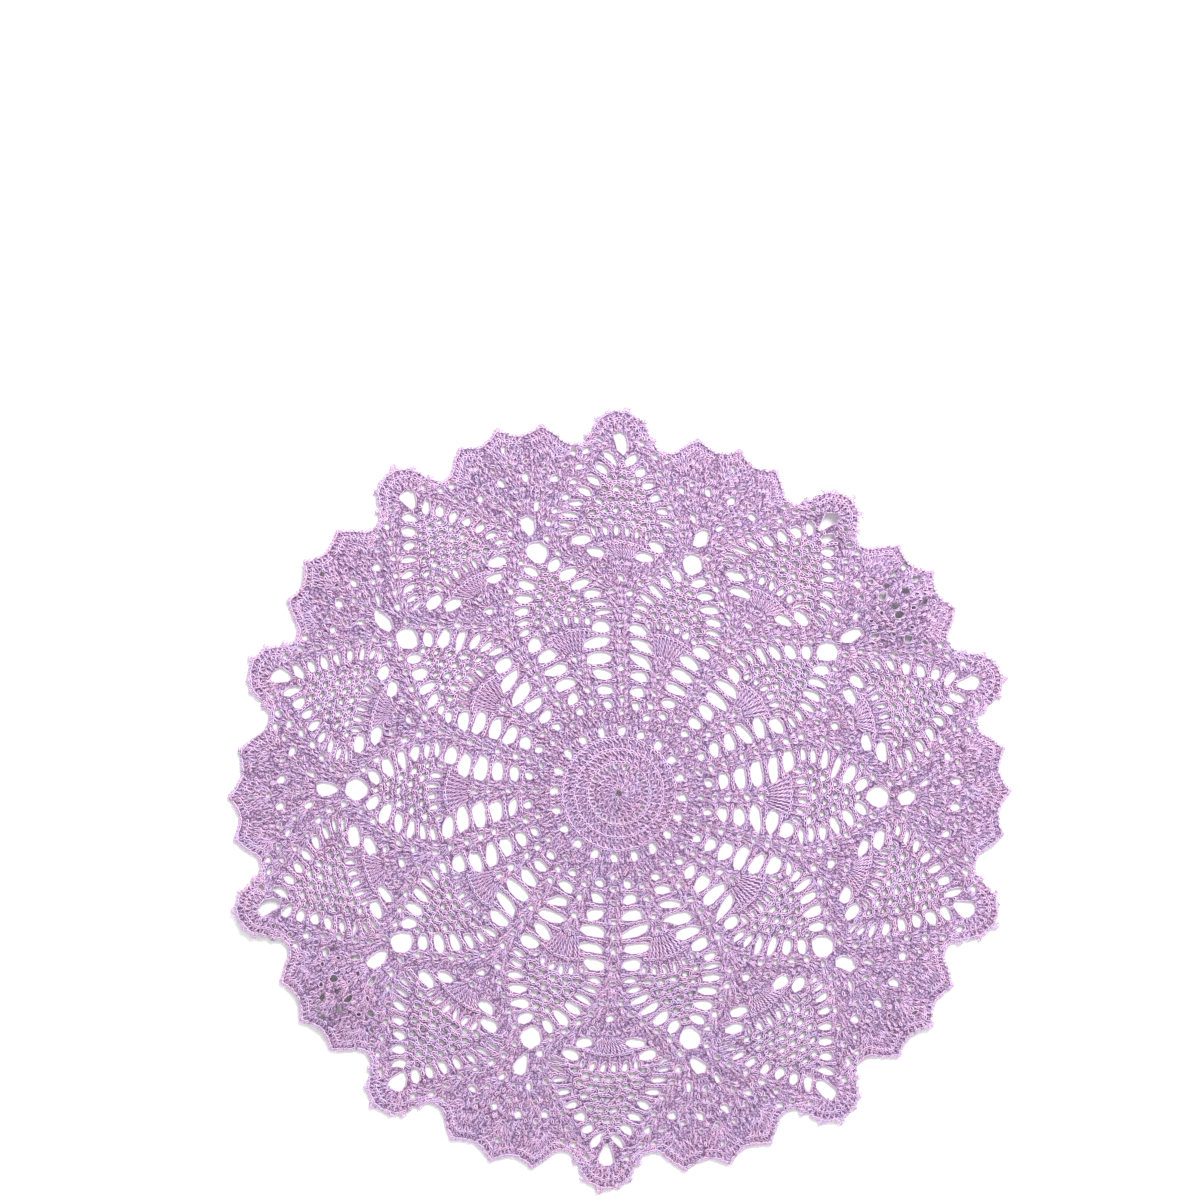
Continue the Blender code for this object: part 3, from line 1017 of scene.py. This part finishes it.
fan_feet = arc(POINT, 123.4, half=4.4, drop=1.2, steps=15)
fan_tops = arc(POINT, 131.6, half=12.4, drop=2.2, steps=15)
stitches = row(fan_feet, fan_tops, OUTER_FAN)
turns = np.linspace(-9.2, 9.2, 9)
stitches += splayed(POINT, turns, 132.4 - turns ** 2 * 0.02, 140.4 - turns ** 2 * 0.025)
crochet("outer_fans", stitches, whole=True)
stitches = shell(spot(POINT, 114.4), spot(POINT, 120.8), half=5.6, per_side=3)
stitches += loops(POINT, OUTER_LOOPS, OUTER_PITCH)
crochet("stitches_outer_pineapples", stitches)

# ------------------------------
# The flanks of the pineapples, cotton thread: columns of shells that part from the long spoke,
# run round the outer pineapple and end in the dome at its head.

PARTING = 110  # past this reach the flanks lie apart and their shells are wider
CLOSE_HALF = 5.0
APART_HALF = 5.6

for name, side in (("stitches_left_flanks", -1), ("stitches_right_flanks", 1)):
    stitches = []
    for low, high in zip([(0, SPOKE[-1])] + FLANK[:-1], FLANK):
        half = CLOSE_HALF if high[1] < PARTING else APART_HALF
        stitches += shell(spot(side * low[0], low[1]), spot(side * high[0], high[1]), half, 3)
    crochet(name, stitches)

# ------------------------------
# The shells over the scallops, cotton thread, which fill the wedge between two flanks: one
# column up its middle, and a shorter one on each side.

MIDDLE_HALF = 5.0
SIDE_HALF = 4.8
MIDDLE_COLUMN = [149.8, 156.9, 163.0, 170.0]
SIDE_COLUMN = [(2.6, 154.5), (4.6, 161.2), (5.4, 170.0)]

stitches = []
for low, high in zip(MIDDLE_COLUMN, MIDDLE_COLUMN[1:]):
    stitches += shell(spot(SCALLOP, low), spot(SCALLOP, high), MIDDLE_HALF, 3)
for side in (-1, 1):
    column = [spot(SCALLOP + side * turn, reach) for turn, reach in SIDE_COLUMN]
    for low, high in zip(column, column[1:]):
        stitches += shell(low, high, SIDE_HALF, 3)
crochet("stitches_over_scallops", stitches)

# ------------------------------
# The edging, cotton thread: rows of stitches that fan out to each scallop and point of the rim,
# with a chain along it, and the picots, loops of chain that stand on it.

EDGE_ROW = 3.2
EDGE_PITCH = 2.1
EDGE_LEAN = 0.45
EDGE_GAP = 0.7  # from the rim's chain to the heads of the first row
EDGE_OVERLAP = 1.05  # length of a stitch over that of its row
EDGE_SHARE = 0.8  # part of the way to where a fan starts that its rows may fill
CHAIN_INSET = 0.9
PICOT_HALF = 1.5  # half the width of a picot at its foot, and at its head
PICOT_HEAD = 1

# Where the stitches of the rim fan out from: up to which angle off the point, the angle and reach
# of the place, how many rows, and how far the stitches stray in millimetres.
Fan = namedtuple("Fan", "upto angle reach rows unevenness")
FANS = [Fan(5.9, 0, 181.5, 3, 0.5), Fan(14.6, 11.2, 171.0, 4, 0.12), Fan(18.1, 18, 170.0, 5, 0.12)]
Picot = namedtuple("Picot", "angle reach height")
PICOTS = [
    Picot(0.9, 198.2, 2.8), Picot(-1.9, 197.0, 1.4), Picot(3.4, 194.0, 1.4), Picot(-3.4, 194.0, 1.4),
    Picot(5.0, 185.8, 1.4), Picot(-5.0, 185.8, 1.4), Picot(11.6, 192.2, 0.9), Picot(-11.6, 192.2, 0.9),
    Picot(18.0, 194.7, 0.9),
]
inner_rim = rim_outline(CHAIN_INSET)
rim_path = np.concatenate([inner_rim, turned(inner_rim[:1], REPEAT_DEG)])
rim_length = np.hypot(*np.diff(rim_path, axis=0).T).sum()
count = round(rim_length / EDGE_PITCH)
tops = places_along(rim_path, (np.arange(count) + 0.5) / count)
stitches = chain(rim_path)
second_line = []
for number, top in enumerate(tops):
    angle = math.degrees(math.atan2(*top))
    fan = next(fan for fan in FANS if abs(angle) < fan.upto)
    toward = spot(math.copysign(fan.angle, angle), fan.reach) - top
    rows = min(fan.rows, int(EDGE_SHARE * np.hypot(*toward) / EDGE_ROW))
    toward = unit(toward)
    second_line.append(top + toward * (EDGE_ROW + EDGE_GAP))
    sideways = right_of(toward) * EDGE_LEAN * (-1) ** number
    for row_number in range(rows):
        start = top + toward * (EDGE_ROW * row_number + EDGE_GAP) + draw.normal(0, fan.unevenness, 2)
        stitches.append((start + toward * EDGE_ROW * EDGE_OVERLAP - sideways, start + sideways))
        sideways = -sideways
crochet("stitches_edging", stitches + chain(second_line))
stitches = []
for picot in PICOTS:
    foot = spot(picot.angle, picot.reach)
    out = unit(foot)
    rise = out * picot.height
    across = right_of(out)
    stitches += chain([
        foot - across * PICOT_HALF, foot - across * PICOT_HEAD + rise,
        foot + across * PICOT_HEAD + rise, foot + across * PICOT_HALF,
    ])
crochet("picots", all_round(stitches), once=True)

# ------------------------------
# The threads round the gaps, cotton. They are the sides of the stitches that hold a gap open,
# and lie along the cut edge of the body.

EDGE_HEIGHT = 0.9
RING_THREAD = 0.7
RING_STEPS = 8
RING_OUT = 0.3  # how far a ring's middle lies outside the gap
# Painted light on the ring threads: a flat painted shade, with the top of each thread paler.
RING_SHADE = 0.35  # its shade, and how much paler its top is
RING_TOP_LIGHT = 0.15

corners = 2 * math.pi * (np.arange(3) + 0.25) / 3
places, faces, along = [], [], []
for outline, middle in ringed:
    away = outline - middle
    wider = middle + away * (1 + RING_OUT / np.hypot(*away.T))[:, None]
    laid = lay(places_round(wider, RING_STEPS))
    direction = np.roll(laid, -1, 0) - np.roll(laid, 1, 0)
    direction /= np.hypot(*direction.T)[:, None]
    sideways = np.stack((direction[:, 1], -direction[:, 0]), -1)
    level = laid[:, None] + sideways[:, None] * np.cos(corners)[None, :, None] * RING_THREAD / 2
    height = (lift(laid) + EDGE_HEIGHT)[:, None] + np.sin(corners)[None, :] * RING_THREAD / 2
    places.append(np.concatenate((level - ring_centre, height[..., None]), -1).reshape(-1, 3))
for k in range(RING_STEPS):
    for side in range(3):
        after, beside = (k + 1) % RING_STEPS, (side + 1) % 3
        faces.append((3 * k + side, 3 * k + beside, 3 * after + beside, 3 * after + side))
        start, end = k / RING_STEPS, (k + 1) / RING_STEPS
        low, high = side / 3, (side + 1) / 3
        along.append(((start, low), (start, high), (end, high), (end, low)))
size = 3 * RING_STEPS
numbers = np.arange(len(ringed))
faces = np.array(faces) + size * numbers[:, None, None]
tones = np.repeat(draw.random(len(ringed)), size)
# Painted shade and light: each ring's thread is paler on top and darker on its sides.
depth_shades = np.tile(RING_SHADE + RING_TOP_LIGHT * np.sin(corners), RING_STEPS * len(ringed))
mesh_of(
    "gap_threads", np.concatenate(places) * MM, faces.reshape(-1, 4),
    np.tile(np.array(along), (len(ringed), 1, 1)), np.repeat(numbers, size), tones, depth_shades,
)

# ------------------------------
# The stitches between, cotton thread: short ones wherever the charted ones leave the body bare,
# in rows about as close as those of the real lace.

FREE = 1.4  # a place this far from every stitch is bare
FILL_START = 36.5
FILL_END = 196
FILL_ROW = 2.9
FILL_PITCH = 1.75
SLIP = 0.35  # how far the foot of a stitch strays, and how far its top leans
ASKEW = 1.1
TRIED = (0.15, 0.5, 0.85)  # places along a stitch, of which two have to be bare

near = np.concatenate(worked)
near = np.concatenate((near, turned(near, REPEAT_DEG), turned(near, -REPEAT_DEG)))
tree = KDTree(len(near))
for index, place in enumerate(near):
    tree.insert((*place, 0), index)
tree.balance()
candidates = []
for reach in np.arange(FILL_START, FILL_END, FILL_ROW):
    count = round(math.radians(REPEAT_DEG) * reach / FILL_PITCH)
    angles = -REPEAT_DEG / 2 + (np.arange(count) + draw.random()) * REPEAT_DEG / count
    feet = spot(angles, reach)
    slip = draw.normal(0, SLIP, feet.shape)
    tops = spot(angles, reach + FILL_ROW) + slip + draw.normal(0, ASKEW, feet.shape)
    candidates.append(np.stack((feet + slip, tops), 1))
candidates = np.concatenate(candidates)
samples = along_pairs(candidates, TRIED)
kept = []
for pair, places, fine in zip(candidates, samples, on_lace(samples).all(1)):
    if fine and sum(tree.find((*place, 0))[2] > FREE for place in places) >= 2:
        kept.append(pair)
half = len(kept) // 2
crochet("stitches_between_inner", kept[:half])
crochet("stitches_between_outer", kept[half:])

# ------------------------------
# The table, a plain white top, with the soft light of a window at the upper right. It stands
# in a white room, whose light comes from all round.

TABLE_SIZE = 6  # metres, as all sizes of the stage
TABLE_DROP = 0.0006  # below the lowest thread
TABLE_WHITE = (0.96, 0.96, 0.96, 1)
TABLE_ROUGHNESS = 0.8
WINDOW_SIZE = 1.0
WINDOW_WATTS = 56
WINDOW_PLACE = (0.7, 1.3, 1.5)
ROOM_STRENGTH = 0.93

bpy.ops.mesh.primitive_plane_add(size=TABLE_SIZE, location=(0, 0, -TABLE_DROP))
table = bpy.context.object
table.name = "table"
paint = bpy.data.materials.new("white_table")
paint.use_nodes = True
paint_shader = paint.node_tree.nodes["Principled BSDF"]
paint_shader.inputs["Base Color"].default_value = TABLE_WHITE
paint_shader.inputs["Roughness"].default_value = TABLE_ROUGHNESS
table.data.materials.append(paint)

window = bpy.data.lights.new("window", "AREA")
window.size = WINDOW_SIZE
window.energy = WINDOW_WATTS
lamp = in_scene("window", window)
lamp.location = WINDOW_PLACE
lamp.rotation_euler = (-lamp.location).to_track_quat("-Z", "Y").to_euler()
room = bpy.data.worlds.new("room")
bpy.context.scene.world = room
room.use_nodes = True
room.node_tree.nodes["Background"].inputs["Color"].default_value = (1, 1, 1, 1)
room.node_tree.nodes["Background"].inputs["Strength"].default_value = ROOM_STRENGTH
bpy.context.scene.view_settings.view_transform = "Standard"

# ------------------------------
# The camera, which looks straight down on the table from well above it, with the centre ring of
# the doily below the middle of the frame.

FRAME = 1200  # pixels on each side
PIXEL = 200 / 394  # mm in a pixel
RING_ACROSS = 618.7  # the centre ring, in pixels from the frame's upper left corner
RING_DOWN = 793.5
EYE_HEIGHT = 1.6
SENSOR = 36

camera = bpy.data.cameras.new("camera")
camera.sensor_width = SENSOR
camera.lens = SENSOR * EYE_HEIGHT / (FRAME * PIXEL * MM)
eye = in_scene("camera", camera)
middle = (np.array((FRAME / 2 - RING_ACROSS, RING_DOWN - FRAME / 2)) * PIXEL - ring_centre) * MM
eye.location = (*middle, EYE_HEIGHT)
bpy.context.scene.camera = eye
